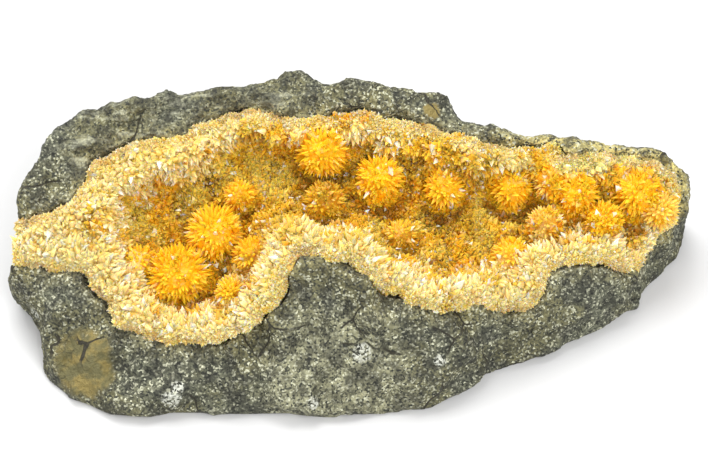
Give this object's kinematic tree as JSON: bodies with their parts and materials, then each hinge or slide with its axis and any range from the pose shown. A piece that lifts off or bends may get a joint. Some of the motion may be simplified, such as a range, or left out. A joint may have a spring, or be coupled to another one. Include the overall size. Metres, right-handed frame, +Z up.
{
  "type": "calcite cluster",
  "caption": "Golden calcite crystals and spiky crystal balls lining a shallow hollow in a loose piece of grey rock with a flat underside.",
  "frame": {"origin": "centre of the bounding box at its bottom, on the plane that the rock rests on", "axes": "+X along the rock's length, towards its narrow end; +Y from the open front towards the slab behind the hollow; +Z up"},
  "size_m": [0.1378, 0.064, 0.0362],
  "materials": {
    "grey_rock": "rough broken rock, salt-and-pepper grains",
    "golden_calcite": "glassy translucent crystals, cream at the rim and orange in the hollow"
  },
  "bodies": {
    "root": {"matrix_rock": "grey_rock", "calcite_crust": "golden_calcite"}
  },
  "joints": []
}
